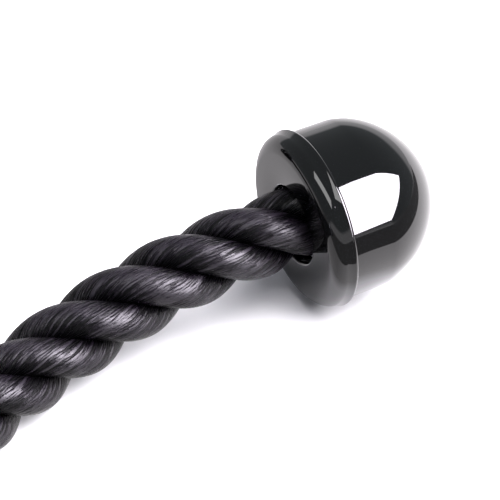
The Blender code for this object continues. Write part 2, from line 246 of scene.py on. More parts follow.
@dataclass(frozen=True)
class Finish:
    """A finish: its material's name and the record's slot that it comes from."""

    name: str
    slot: Slot

    def material(self) -> bpy.types.Material:
        """The finish's material, which is built when it is first asked for."""
        if self.name not in bpy.data.materials:
            self.fill(Shader(self.name))
        return bpy.data.materials[self.name]

    def fill(self, shader: Shader) -> None:
        """Feed the shader's inputs."""
        raise NotImplementedError


@dataclass(frozen=True)
class RopeNylon(Finish):
    """Black filament nylon, laid as yarns that run along the strands' surface.

    Its colour, its sheen and its gloss are each a weighed sum of the pattern's parts, taken from a range.
    Scales are counted across in yarns and along in metres.
    """

    name: str = "black nylon yarn"
    slot: Slot = Slot.ROPE
    shade: Colour = (0.0004, 0.0003, 0.0006)
    lit_shade: Colour = (0.0085, 0.0061, 0.0104)
    gloss: float = 0.17
    dull: float = 0.45
    sheen: float = 0.46
    yarn_depth: float = 0.42 * MM
    yarn_power: float = 4.0
    yarn_firmness: tuple[float, float, float] = (0.3, 0.7, 0.35)
    filament_depth: float = 0.44 * MM
    bury_power: float = 2.5
    bury_depth: float = 1.5
    wander_width: float = 1.9
    wander_scale: Range = (0.6, 65.0)
    stretch_scale: Range = (3.7, 150.0)
    filament_scale: Range = (1.6, 165.0)
    light_range: Range = (0.80, 1.25)
    shine_range: Range = (1.07, 1.17)
    polish_range: Range = (0.75, 1.35)
    # The negative weight of buried paints shade into the colour: darker where a strand runs into its groove.
    light: ClassVar[Weights] = {"tone": 0.2, "stretch": 0.3, "filaments": 1.7, "buried": -0.6, "uneven": 0.9}
    shine: ClassVar[Weights] = {"tone": 0.2, "filaments": 1.5, "round": 0.3, "buried": -0.5, "uneven": 0.8}
    polish: ClassVar[Weights] = {"tone": 0.5, "filaments": 1.0, "round": 0.5}

    def fill(self, shader: Shader) -> None:
        """Feed the shader from the rope's own charts.

        Args:
            shader: The shader. In one of its charts, whole numbers across are the borders of yarns and along
                is in metres. The other goes from 0 on a strand's crest to 1 in its groove.
        """
        across, along = shader.chart(LAY_CHART)
        flank, _ = shader.chart(FLANK_CHART)

        def pattern(place: Term, scale: Range, detail: float, roughness: float = 0.5) -> Term:
            """Noise with cells of its own size across and along the strand."""
            at = shader.vector(place * scale[0], along * scale[1])
            return shader.noise(at, 1.0, detail, roughness)

        yarn_place = across + (pattern(across, self.wander_scale, 3.0) - 0.5) * self.wander_width
        number = yarn_place.whole()
        from_middle = (yarn_place.fraction() * 2.0 - 1.0).absolute()
        tone = shader.scatter(shader.vector(number, 0.0))
        parts = {
            "tone": tone,
            "stretch": pattern(number, self.stretch_scale, 2.0),
            "filaments": pattern(yarn_place, self.filament_scale, 4.0, 0.7),
            "round": 1.0 - from_middle**self.yarn_power,
            "buried": flank**self.bury_power,
            "uneven": (tone - 0.5) * flank,
        }
        # Painted shade: through the buried part, the base colour darkens towards each strand's groove.
        light = shader.span(weighed(parts, self.light), *self.light_range)
        polish = weighed(parts, self.polish)
        height = parts["round"] * shader.span(parts["stretch"], *self.yarn_firmness)
        relief = shader.bump(height * (parts["buried"] * self.bury_depth + 1.0), self.yarn_depth)
        shader.set(
            base_color=shader.blend(light, self.shade, self.lit_shade),
            roughness=shader.span(polish, *self.polish_range, self.dull, self.gloss),
            normal=shader.bump(parts["filaments"], self.filament_depth, Normal=relief),
            specular_ior_level=0.10,
            coat_weight=shader.span(weighed(parts, self.shine), *self.shine_range, 0.0, self.sheen),
            coat_roughness=0.45,
        )


@dataclass(frozen=True)
class HardFinish(Finish):
    """A hard surface whose clouds vary its colour and gloss, and whose grain is its relief.

    A noise is its cells in a metre, its octaves and the finer octaves' strength.
    """

    shade: Colour
    lit_shade: Colour
    gloss: float
    dull: float
    clouds: Noise
    grain: Noise
    grain_depth: float
    grain_strength: float
    grain_share: float = 0.0
    shade_range: Range = (0.0, 1.0)
    gloss_range: Range = (0.3, 0.7)
    metallic: float = 0.0

    def fill(self, shader: Shader) -> None:
        """Feed the shader in Object coordinates.

        Args:
            shader: The shader.
        """
        place = shader.place()
        clouds, grain = shader.noise(place, *self.clouds), shader.noise(place, *self.grain)
        polish = clouds * (1 - self.grain_share) + grain * self.grain_share
        shader.set(
            base_color=shader.blend(shader.span(clouds, *self.shade_range), self.shade, self.lit_shade),
            roughness=shader.span(polish, *self.gloss_range, self.gloss, self.dull),
            normal=shader.bump(grain, self.grain_depth, self.grain_strength),
            metallic=self.metallic,
        )


MOULDED_PLASTIC = HardFinish(
    "glossy black plastic", Slot.BALL, shade=(0.0007, 0.0008, 0.0009), lit_shade=(0.00105, 0.0012, 0.00135),
    gloss=0.025, dull=0.05, clouds=(45.0, 4.0, 0.6), grain=(160.0, 2.0, 0.5), grain_depth=0.006 * MM,
    grain_strength=0.5, gloss_range=(0.35, 0.75),
)
ZINC_PLATE = HardFinish(
    "bright zinc plate", Slot.ZINC, shade=(0.43, 0.44, 0.47), lit_shade=(0.50, 0.52, 0.55), gloss=0.26,
    dull=0.36, clouds=(120.0, 4.0, 0.6), grain=(1600.0, 3.0, 0.6), grain_depth=0.01 * MM,
    grain_strength=0.4, grain_share=0.4, shade_range=(0.3, 0.7), metallic=1.0,
)
PLAIN_STEEL = replace(
    ZINC_PLATE, name="plain pressed steel", slot=Slot.STEEL, shade=(0.29, 0.29, 0.30),
    lit_shade=(0.36, 0.36, 0.375), gloss=0.30, dull=0.42,
)
WOUND_TAPE = HardFinish(
    "black tape", Slot.TAPE, shade=(0.018, 0.018, 0.020), lit_shade=(0.036, 0.036, 0.040), gloss=0.38,
    dull=0.55, clouds=(300.0, 4.0, 0.6), grain=(300.0, 4.0, 0.6), grain_depth=0.08 * MM, grain_strength=0.6,
)
MELTED_NYLON = HardFinish(
    "melted nylon", Slot.ROPE, shade=(0.010, 0.010, 0.011), lit_shade=(0.020, 0.020, 0.022), gloss=0.16,
    dull=0.34, clouds=(260.0, 3.0, 0.5), grain=(260.0, 3.0, 0.5), grain_depth=0.3 * MM, grain_strength=0.7,
)


def stand(name: str, bm: bmesh.types.BMesh, finish: Finish, sharp: float = SHARP) -> bpy.types.Object:
    """Put a bmesh into the scene as a piece that is smooth up to its sharp edges.

    Args:
        name: The piece's name.
        bm: The bmesh, in the frame's coordinates, which is freed.
        finish: The piece's finish.
        sharp: Edges that bend more than this stay sharp.

    Returns:
        The piece.
    """
    bmesh.ops.recalc_face_normals(bm, faces=bm.faces)
    mesh = bpy.data.meshes.new(name)
    bm.to_mesh(mesh)
    bm.free()
    mesh.shade_smooth()
    mesh.set_sharp_from_angle(angle=sharp)
    mesh.materials.append(finish.material())
    piece = bpy.data.objects.new(name, mesh)
    bpy.context.scene.collection.objects.link(piece)
    log.info("%s: %d faces", name, len(mesh.polygons))
    return piece


def dress(piece: bpy.types.Object, body: str, node: str) -> None:
    """Let a piece ride on a body and replace one of the part's nodes."""
    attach(piece, body)
    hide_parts(node)


def draped_grid(across: int, along: int, place: Callable[[int, int], Vector]) -> bmesh.types.BMesh:
    """Lay a grid over a shape, weld the edges that meet and fill the ends that stay open.

    Args:
        across: Cells across.
        along: Cells along.
        place: The point for each vertex, from its place across and along.

    Returns:
        The bmesh, with a chart that runs from 0 to 1 both ways.
    """
    bm = bmesh.new()
    bm.loops.layers.uv.new(LAY_CHART)
    bmesh.ops.create_grid(bm, x_segments=across, y_segments=along, size=1.0, calc_uvs=True)
    for number, vertex in enumerate(bm.verts):
        vertex.co = place(number % (across + 1), number // (across + 1))
    bmesh.ops.remove_doubles(bm, verts=bm.verts, dist=GRID_WELD)
    rims = [edge for edge in bm.edges if edge.is_boundary]
    if rims:
        bmesh.ops.holes_fill(bm, edges=rims, sides=0)
    return bm


def spun(profile: Profile, steps: int, closed: bool) -> bmesh.types.BMesh:
    """Spin a profile of radius and height about Z.

    Args:
        profile: The points.
        steps: Steps in the full turn.
        closed: Whether the profile is a ring's section.

    Returns:
        The bmesh, welded.
    """
    bm = bmesh.new()
    points = [bm.verts.new((radius, 0, height)) for radius, height in profile]
    ends = points[1:] + points[:1] if closed else points[1:]
    bmesh.ops.spin(
        bm,
        geom=points + [bm.edges.new(pair) for pair in zip(points, ends)],
        cent=(0, 0, 0),
        axis=(0, 0, 1),
        angle=FULL_TURN,
        steps=steps,
        use_merge=True,
        use_duplicate=False,
    )
    bmesh.ops.remove_doubles(bm, verts=bm.verts, dist=SPUN_WELD)
    return bm


def quarter_arc(radius: float, height: float, power: float, steps: int) -> Profile:
    """Points of a superellipse quarter, from its full radius at height 0 to its top."""
    angles = [math.pi / 2 * i / steps for i in range(steps)]
    arc = [(radius * math.cos(a) ** (2 / power), height * math.sin(a) ** (2 / power)) for a in angles]
    return arc + [(0.0, height)]


def heading(turn: float, rise: float) -> Vector:
    """A direction from its angle round Z, counted from X, and its height, both in radians."""
    return Vector((math.cos(turn) * math.cos(rise), math.sin(turn) * math.cos(rise), math.sin(rise)))


def distances(line: Sequence[Vector]) -> list[float]:
    """The way along a line to each of its points."""
    return [0.0, *accumulate((end - start).length for start, end in zip(line, line[1:]))]


def sided(line: Sequence[Vector], side: Side) -> list[Vector]:
    """A line of the right leg, put on either side."""
    return [Vector((side.value * point.x, point.y, point.z)) for point in line]


def eased(value: float) -> float:
    """Rise from 0 to 1 with level ends."""
    value = min(max(value, 0.0), 1.0)
    return value * value * (3 - 2 * value)


@dataclass
class RopeRoute:
    """The rope's whole route, from the left ball round the fold to the right ball."""

    diameter: float = 28.6 * MM
    leg_gap: float = 0.6 * MM
    sleeve_mouth: float = -65.0 * MM
    sleeve_length: float = 38.0 * MM
    sleeve_wall: float = 2.5 * MM
    clearance: float = 0.3 * MM
    fold_radius: float = 22.0 * MM
    fold_throat: float = 21.7 * MM
    fold_tip_height: float = 24.952 * MM
    spread: float = 90.2 * MM
    reach: float = 196.8 * MM
    rest_gap: float = 0.1 * MM
    bore_height: float = 34.781 * MM
    ball_tilt: float = math.radians(1.5)
    station: float = 1.6 * MM
    shares: tuple[tuple[float, float, float], ...] = (
        (0.0000, 0.0000, -1.000), (0.0000, 0.0457, -1.000), (0.0067, 0.1067, -0.815),
        (0.0211, 0.1728, -0.444), (0.0443, 0.2525, -0.111), (0.0776, 0.3323, 0.000),
        (0.1220, 0.4111, 0.000), (0.1785, 0.4883, 0.025), (0.2461, 0.5625, 0.103),
        (0.3282, 0.6336, 0.221), (0.4213, 0.7012, 0.373), (0.5233, 0.7647, 0.540),
        (0.6364, 0.8257, 0.702), (0.7561, 0.8841, 0.844), (0.8813, 0.9396, 0.957),
        (0.9407, 0.9698, 0.991), (1.0000, 1.0000, 1.000),
    )

    @property
    def offset(self) -> float:
        """How far each leg's axis lies from the middle inside the sleeve."""
        return (self.diameter + self.leg_gap) / 2

    @property
    def sleeve_height(self) -> float:
        """The height of the legs' axes inside the sleeve."""
        return self.diameter / 2 + self.clearance + self.sleeve_wall

    def leg(self) -> list[Vector]:
        """The points of the right leg, as in the part's source."""
        rest = self.diameter / 2 + self.rest_gap
        points = []
        for outwards, along, up in self.shares:
            top = self.bore_height if up > 0 else self.sleeve_height
            x, y = self.offset + self.spread * outwards, self.sleeve_mouth + self.reach * along
            points.append(Vector((x, y, rest + (top - rest) * abs(up))))
        return points

    def ball_axis(self) -> Vector:
        """The right ball's axis, from its bore to the top of its dome."""
        before, mouth = self.leg()[-2:]
        return heading(math.atan2(mouth.y - before.y, mouth.x - before.x), self.ball_tilt)

    def smooth_leg(self) -> list[Vector]:
        """Points about one station apart on the smooth curve through the leg's points."""
        route = self.leg()
        route = [route[0] * 2 - route[1], *route, route[-1] * 2 - route[-2]]
        curve = []
        for before, start, end, after in zip(route, route[1:], route[2:], route[3:]):
            square = before * 2 - start * 5 + end * 4 - after
            cube = start * 3 - before - end * 3 + after
            steps = max(1, round((end - start).length / self.station))
            for t in (step / steps for step in range(steps)):
                curve.append((start * 2 + (end - before) * t + square * t**2 + cube * t**3) / 2)
        return [*curve, route[-2]]

    def half_fold(self) -> list[Vector]:
        """Points from the sleeve's mouth to the fold's tip, on the right-hand side."""
        sleeve_end = self.sleeve_mouth - self.sleeve_length
        fold_centre = sleeve_end - self.fold_throat
        tip = fold_centre - self.fold_radius
        steps = round(self.sleeve_length / self.station)
        plan = [(self.offset, self.sleeve_mouth - self.sleeve_length * i / steps) for i in range(steps)]
        steps = round(self.fold_throat / self.station)
        for share in (i / steps for i in range(steps)):
            x = self.offset + (self.fold_radius - self.offset) * eased(share)
            plan.append((x, sleeve_end - self.fold_throat * share))
        steps = round(self.fold_radius * math.pi / 2 / self.station)
        for angle in (math.pi / 2 * i / steps for i in range(steps + 1)):
            x, y = self.fold_radius * math.cos(angle), fold_centre - self.fold_radius * math.sin(angle)
            plan.append((x, y))
        rise, fall = self.fold_tip_height - self.sleeve_height, sleeve_end - tip
        heights = [self.sleeve_height + rise * eased((sleeve_end - y) / fall) for _, y in plan]
        return [Vector((x, y, height)) for (x, y), height in zip(plan, heights)]


@dataclass
class LaidRope:
    """A right-hand laid rope of three strands, swept along the whole route so that its lay never breaks."""

    route: RopeRoute
    strands: int = 3
    lay_length: float = 75.4 * MM
    lay_start: float = 0.0
    yarns: int = 45
    border_gap: float = math.radians(0.6)
    strand_round: float = 9.0 * MM
    groove_drop: float = 3.0 * MM
    groove_power: float = 5.0
    core: float = 1.2 * MM
    swell: float = 0.5 * MM
    swell_ease: float = 15.0 * MM
    slack: float = 0.85 * MM
    slack_ease: float = 95.0 * MM
    lowest: float = 0.05 * MM
    arc_steps: int = 34
    side_steps: int = 4
    end_inside: float = 31.0 * MM

    def __post_init__(self) -> None:
        """Work out the line, its frames and the section once."""
        leg = self.route.smooth_leg()
        axis = self.route.ball_axis()
        steps = round(self.end_inside / self.route.station)
        inside = [leg[-1] + axis * (self.end_inside * (i + 1) / steps) for i in range(steps)]
        half = list(reversed(leg[1:] + inside)) + self.route.half_fold()
        self.line = sided(half, Side.LEFT) + list(reversed(half[:-1]))
        self.distance = distances(self.line)
        total = self.distance[-1]
        sleeve_mouth = self.end_inside + distances(leg)[-1]
        self.left_span = (self.end_inside, sleeve_mouth)
        self.right_span = (total - sleeve_mouth, total - self.end_inside)
        self.frames = self.carried_frames()
        self.section, self.section_length = self.strand_section()

    def girth(self, distance: float) -> float:
        """The rope's growth at a place: it swells on its free legs, most of all far from sleeve and balls."""
        depth = max(min(distance - start, end - distance) for start, end in (self.left_span, self.right_span))
        grown = self.swell * eased(depth / self.swell_ease) + self.slack * eased(depth / self.slack_ease)
        return 1 + grown / (self.route.diameter / 2)

    def carried_frames(self) -> list[tuple[Vector, Vector]]:
        """Two side directions at each point, carried along the line without turning about it."""
        frames = []
        last = len(self.line) - 1
        for i in range(last + 1):
            tangent = (self.line[min(i + 1, last)] - self.line[max(i - 1, 0)]).normalized()
            if not frames:
                side = tangent.cross(UP).normalized()
            else:
                side = old_tangent.rotation_difference(tangent) @ frames[-1][0]
                side = (side - tangent * side.dot(tangent)).normalized()
            frames.append((side, tangent.cross(side)))
            old_tangent = tangent
        return frames

    def half_angle(self) -> float:
        """The angle from a strand's crest to its groove."""
        return math.pi / self.strands - self.border_gap

    def strand_section(self) -> tuple[list[tuple[float, float, float]], float]:
        """The outline of one strand: radius and angle in the rope's section, and the way round it.

        Returns:
            The points as radius, angle and share of the way round, and the length of the way round.
        """
        half = self.half_angle()
        centre = self.route.diameter / 2 - self.strand_round
        points = []
        for i in range(self.arc_steps + 1):
            share = math.sin(math.pi / 2 * (2 * i / self.arc_steps - 1))
            angle = half * share
            out = centre * math.cos(angle) + math.sqrt(self.strand_round**2 - (centre * math.sin(angle)) ** 2)
            drop = self.groove_drop * (1 - math.sqrt(max(0.0, 1 - abs(share) ** self.groove_power)))
            points.append((out - drop, angle))
        edge = points[-1][0]
        sides = [edge + (self.core - edge) * (i + 1) / self.side_steps for i in range(self.side_steps)]
        outline = points + [(r, half) for r in sides] + [(r, -half) for r in reversed(sides)] + points[:1]
        way = distances([Vector((r * math.cos(a), r * math.sin(a))) for r, a in outline])
        return [(r, a, w / way[-1]) for (r, a), w in zip(outline, way)], way[-1]

    def index_at(self, distance: float) -> int:
        """The station nearest to a distance along the rope."""
        return min(range(len(self.distance)), key=lambda i: abs(self.distance[i] - distance))

    def add_strand(self, whole: bmesh.types.BMesh, strand: int, first: int, last: int) -> None:
        """Sweep one strand and add it to a bmesh.

        Args:
            whole: The bmesh that takes the strand.
            strand: The strand's number.
            first: The first station.
            last: The last station.
        """
        turn_rate = FULL_TURN / self.lay_length
        across, along = len(self.section) - 1, last - first

        def place(i: int, j: int) -> Vector:
            """The point of the strand's surface at one place of the grid."""
            radius, angle, _ = self.section[i]
            side, rise = self.frames[first + j]
            distance = self.distance[first + j]
            turn = self.lay_start + (distance - self.right_span[1]) * turn_rate
            turn += strand * FULL_TURN / self.strands + angle
            radius *= self.girth(distance)
            point = self.line[first + j] + (side * math.cos(turn) + rise * math.sin(turn)) * radius
            point.z = max(point.z, self.lowest)
            return point

        bm = draped_grid(across, along, place)
        chart, flank = bm.loops.layers.uv[LAY_CHART], bm.loops.layers.uv.new(FLANK_CHART)
        yarn_width = self.section_length / self.yarns
        slant = self.route.diameter / 2 * turn_rate
        for face in bm.faces:
            for loop in face.loops:
                u, v = loop[chart].uv
                i, j = round(u * across), round(v * along)
                distance = self.distance[first + j]
                around = self.section[i][2] * self.yarns
                loop[chart].uv = (around + distance * slant / yarn_width + strand * self.yarns, distance)
                loop[flank].uv = (abs(self.section[i][1]) / self.half_angle(), 0.0)
        mesh = bpy.data.meshes.new("strand")
        bm.to_mesh(mesh)
        bm.free()
        whole.from_mesh(mesh)
        bpy.data.meshes.remove(mesh)


@dataclass
class RopePieces:
    """The rope, cut into pieces: the fold and the ends ride on the bodies, and the legs stay in the frame."""

    laid: LaidRope
    finish: RopeNylon = RopeNylon()
    in_sleeve: float = 8.0 * MM
    in_ball: float = 11.0 * MM
    bend_end: int = 5

    def build(self) -> None:
        """Build the two legs, the fold and the two ends."""
        at = self.laid.index_at
        (bore, mouth), (mouth_right, bore_right) = self.laid.left_span, self.laid.right_span
        near, far = at(mouth + self.in_sleeve), at(bore - self.in_ball)
        near_right, far_right = at(mouth_right - self.in_sleeve), at(bore_right + self.in_ball)
        self.leg(Side.LEFT, far, near)
        self.leg(Side.RIGHT, near_right, far_right)
        dress(self.piece("laid_rope_fold", near, near_right), "connector", "rope_fold")
        last = len(self.laid.line) - 1
        for side, first, end in ((Side.LEFT, 0, far), (Side.RIGHT, far_right, last)):
            dress(self.piece(f"laid_rope_end_{side.label}", first, end), side.body, f"rope_end_{side.label}")

    def piece(self, name: str, first: int, last: int) -> bpy.types.Object:
        """Build the rope between two stations as a piece that is smooth all over.

        Args:
            name: The piece's name.
            first: The first station.
            last: The last station.

        Returns:
            The piece, on no body yet.
        """
        bm = bmesh.new()
        for strand in range(self.laid.strands):
            self.laid.add_strand(bm, strand, first, last)
        return stand(name, bm, self.finish, math.pi)

    def leg(self, side: Side, first: int, last: int) -> None:
        """Args:
            side: The leg.
            first: Its first station.
            last: Its last station.
        """
        route = self.laid.route
        piece = self.piece(f"laid_rope_leg_{side.label}", first, last)
        path = sided(route.smooth_leg(), side)
        distances(path)[-1]
        bend_end = sided(route.leg(), side)[self.bend_end]
        side.body
        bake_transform(piece)
        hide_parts(f"rope_flex_{side.label}", f"rope_leg_{side.label}")


@dataclass
class BallStopper:
    """One moulded ball: the collar that the rope enters and the dome screwed onto it."""

    route: RopeRoute
    side: Side
    rim_radius: float = 35.0 * MM
    rim_edge: float = 0.6 * MM
    collar_depth: float = 8.5 * MM
    band_depth: float = 3.0 * MM
    band_draft: float = 0.9 * MM
    face_radius: float = 28.0 * MM
    bore_radius: float = 15.6 * MM
    bore_edge: float = 0.8 * MM
    shoulder_power: float = 1.8
    front_wall: float = 6.0 * MM
    spigot_radius: float = 24.0 * MM
    spigot_length: float = 13.0 * MM
    counterbore_radius: float = 20.0 * MM
    dome_radius: float = 33.1 * MM
    dome_straight: float = 16.9 * MM
    dome_crown: float = 30.9 * MM
    dome_power: float = 1.8
    dome_wall: float = 4.0 * MM
    land_overrun: float = 1.0 * MM
    clearance: float = 0.3 * MM
    steps: int = 144
    crown_steps: int = 40
    shoulder_steps: int = 14
    edge_steps: int = 5

    def seat(self) -> Matrix:
        """The place of the ball's rim plane and axis in the frame."""
        axis = self.route.ball_axis()
        mouth = self.route.leg()[-1]
        centre = Vector((mouth.x, mouth.y, 0)) + axis * self.collar_depth
        tilt = self.route.ball_tilt
        centre.z = self.rim_radius * math.cos(tilt) + self.rim_edge * math.sin(tilt)
        axis.x *= self.side.value
        centre.x *= self.side.value
        return Matrix.Translation(centre) @ axis.to_track_quat("Z", "Y").to_matrix().to_4x4()

    def collar_profile(self) -> Profile:
        """The collar's section."""
        band = self.rim_radius - self.band_draft
        edge = self.bore_edge
        bore = quarter_arc(edge, edge, 2.0, self.edge_steps)
        points = [(self.bore_radius + edge - out, edge - up - self.collar_depth) for out, up in bore]
        points.append((self.face_radius, -self.collar_depth))
        drop = self.collar_depth - self.band_depth
        shoulder = quarter_arc(band - self.face_radius, drop, self.shoulder_power, self.shoulder_steps)
        points += [(self.face_radius + out, -self.band_depth - up) for out, up in reversed(shoulder[:-1])]
        soft = self.rim_edge / 3
        seat = self.front_wall - self.collar_depth
        return points + [
            (self.rim_radius - soft / 2, -self.rim_edge - soft),
            (self.rim_radius, -self.rim_edge),
            (self.rim_radius, -soft),
            (self.rim_radius - soft, soft),
            (self.rim_radius - self.rim_edge, self.rim_edge),
            (self.spigot_radius, self.rim_edge),
            (self.spigot_radius, self.spigot_length - self.rim_edge),
            (self.spigot_radius - self.rim_edge, self.spigot_length),
            (self.counterbore_radius, self.spigot_length),
            (self.counterbore_radius, seat),
            (self.bore_radius, seat),
        ]

    def dome_profile(self) -> Profile:
        """The dome's section, from the top of its outside to the top of its cavity."""
        mouth = self.rim_edge + self.clearance
        land = self.spigot_radius + self.clearance
        land_end = self.spigot_length + self.land_overrun
        inner = self.dome_radius - self.dome_wall
        crown = quarter_arc(self.dome_radius, self.dome_crown, self.dome_power, self.crown_steps)
        hollow = self.dome_crown - self.dome_wall
        cavity = quarter_arc(inner, hollow, self.dome_power, self.shoulder_steps)
        points = [(out, self.dome_straight + up) for out, up in reversed(crown)]
        points += [(self.dome_radius, mouth), (land, mouth)]
        points += [(land, land_end - self.dome_wall / 2), (inner, land_end)]
        return points + [(out, self.dome_straight + up) for out, up in cavity]

    def build(self) -> None:
        """Build the collar and the dome."""
        for part, profile, closed in (
            ("collar", self.collar_profile(), True),
            ("dome", self.dome_profile(), False),
        ):
            bm = spun(profile, self.steps, closed)
            bm.transform(self.seat())
            piece = stand(f"moulded_{part}_{self.side.label}", bm, MOULDED_PLASTIC)
            dress(piece, self.side.body, f"ball_{part}_{self.side.label}")


@dataclass
class PressedSleeve:
    """The oval sleeve over both legs, pressed to a waist between its two end bands."""

    route: RopeRoute
    edge: float = 0.9 * MM
    edge_steps: int = 6
    lip: float = 0.5 * MM
    band: float = 9.0 * MM
    ramp: float = 7.0 * MM
    ramp_steps: int = 12
    waist_steps: int = 6
    pinch: float = 5.0 * MM
    pinch_half: float = 10.0 * MM
    flash: float = 0.35 * MM
    flash_half: float = math.radians(4)
    round_steps: int = 60
    flat_steps: int = 32

    def rows(self) -> list[tuple[float, float, float]]:
        """The rows along the sleeve, as way from its mouth, thickness and share of the pinch.

        Returns:
            The rows: outside from the mouth to the far end and inside back again, closed on itself.
        """
        length, wall = self.route.sleeve_length, self.route.sleeve_wall
        rounded = quarter_arc(self.edge, self.edge, 2.0, self.edge_steps)
        half = [(self.edge - out, wall - self.edge + up, 0.0) for out, up in rounded]
        half.append((self.band, wall, 0.0))
        for share in (i / self.ramp_steps for i in range(1, self.ramp_steps + 1)):
            half.append((self.band + self.ramp * share, wall, eased(share)))
        start = self.band + self.ramp
        step = (length - 2 * start) / self.waist_steps
        middle = [(start + step * i, wall, 1.0) for i in range(1, self.waist_steps)]
        outside = half + middle + [(length - way, thick, share) for way, thick, share in reversed(half)]
        inner = [row for row in reversed(outside) if self.edge < row[0] < length - self.edge]
        inside = [(way, 0.0, share) for way, _, share in inner]
        lip = self.lip
        far = [(length, lip, 0.0), (length - lip / 3, lip / 3, 0.0), (length - lip, 0.0, 0.0)]
        near = [(length - way, thick, 0.0) for way, thick, _ in reversed(far)]
        return outside + far + inside + near + [outside[0]]

    def outline(self, thick: float, press: float) -> Profile:
        """The outline across the sleeve: two half rounds joined by flats that the press pinches.

        Args:
            thick: How far the outline lies outside the sleeve's bore.
            press: Share of the pinch.

        Returns:
            The outline's points across and up, closed on itself.
        """
        radius = self.route.diameter / 2 + self.route.clearance + thick
        points = []
        for side in (1, -1):
            for i in range(self.round_steps):
                angle = math.pi * (i / self.round_steps - 1 / 2)
                ridge = self.flash * press * max(0.0, 1 - abs(angle) / self.flash_half) if thick else 0.0
                out = (radius + ridge) * math.cos(angle)
                points.append((side * (self.route.offset + out), side * (radius + ridge) * math.sin(angle)))
            for i in range(self.flat_steps):
                x = self.route.offset * (1 - 2 * i / self.flat_steps)
                near = min(abs(x) / self.pinch_half, 1.0)
                dip = self.pinch * press * math.cos(math.pi / 2 * near) ** 2
                points.append((side * x, side * (radius - dip)))
        return points + points[:1]

    def build(self) -> None:
        """Build the sleeve."""
        rows = self.rows()
        outlines = [self.outline(thick, press) for _, thick, press in rows]
        across = len(outlines[0]) - 1

        def place(i: int, j: int) -> Vector:
            """The point of the sleeve's surface at one place of the grid."""
            x, z = outlines[j][i]
            return Vector((x, self.route.sleeve_mouth - rows[j][0], self.route.sleeve_height + z))

        bm = draped_grid(across, len(rows) - 1, place)
        dress(stand("pressed_sleeve", bm, ZINC_PLATE), "connector", "sleeve")


@dataclass
class FoldSaddle:
    """The grooved liner of the fold, with rounded lips and softened ends."""

    route: RopeRoute
    inner: float = 14.6 * MM
    wall: float = 1.5 * MM
    wrap: float = math.radians(62)
    start: float = -119.3 * MM
    lip_steps: int = 6
    wrap_steps: int = 30

    def section(self) -> Profile:
        """The channel's section as radius and angle about the rope, closed on itself."""
        middle, half_wall = self.inner + self.wall / 2, self.wall / 2
        reach = self.wrap - half_wall / middle
        points = []
        for side in (1, -1):
            for i in range(self.wrap_steps):
                angle = reach * (2 * i / self.wrap_steps - 1)
                points.append((middle + side * half_wall, side * angle))
            for i in range(self.lip_steps):
                turn = math.pi * i / self.lip_steps
                over = half_wall * math.sin(turn) / middle
                points.append((middle + side * half_wall * math.cos(turn), side * (reach + over)))
        return points + points[:1]

    def line(self) -> list[Vector]:
        """The rope's line round the fold, from one arm of the saddle to the other."""
        half = [point for point in self.route.half_fold() if point.y <= self.start]
        return half + sided(half[-2::-1], Side.LEFT)

    def build(self) -> None:
        """Build the saddle."""
        line, section = self.line(), self.section()
        last = len(line) - 1

        def place(i: int, j: int) -> Vector:
            """The point of the channel's surface at one place of the grid."""
            radius, angle = section[i]
            tangent = (line[min(j + 1, last)] - line[max(j - 1, 0)]).normalized()
            inward = tangent.cross(UP).normalized()
            rise = inward.cross(tangent).normalized()
            rise *= math.copysign(1.0, rise.z)
            return line[j] + (inward * math.cos(angle) + rise * math.sin(angle)) * radius

        bm = draped_grid(len(section) - 1, last, place)
        dress(stand("grooved_saddle", bm, PLAIN_STEEL), "connector", "fold_saddle")


@dataclass
class WeldedRing:
    """The ring for the machine's snap hook, bent from round wire and closed with a weld bead."""

    centre: tuple[float, float, float] = (0.0, -149.265 * MM, 32.0 * MM)
    radius: float = 28.0 * MM
    wire: float = 4.0 * MM
    weld_at: float = math.radians(38)
    weld_half: float = math.radians(6.5)
    weld_rise: float = 0.55 * MM
    ripples: int = 5
    ripple: float = 0.12 * MM
    steps: int = 240
    wire_steps: int = 32

    def thickness(self, angle: float) -> float:
        """The wire's radius at a place round the ring, thicker under the weld's rippled bead."""
        off = abs(angle - self.weld_at) / self.weld_half
        if off >= 1:
            return self.wire
        bead = self.weld_rise * math.sqrt(1 - off * off)
        return self.wire + bead + self.ripple * math.sin(math.pi * self.ripples * off) * (1 - off)

    def build(self) -> None:
        """Build the ring."""
        centre = Vector(self.centre)

        def place(i: int, j: int) -> Vector:
            """The point of the wire's surface at one place of the grid."""
            round_wire, round_ring = FULL_TURN * i / self.wire_steps, FULL_TURN * j / self.steps
            thick = self.thickness(round_ring)
            out = self.radius + thick * math.cos(round_wire)
            away = Vector((0, math.cos(round_ring), math.sin(round_ring)))
            return centre + away * out + Vector((thick * math.sin(round_wire), 0, 0))

        bm = draped_grid(self.wire_steps, self.steps, place)
        dress(stand("welded_ring", bm, ZINC_PLATE), "ring", "ring")


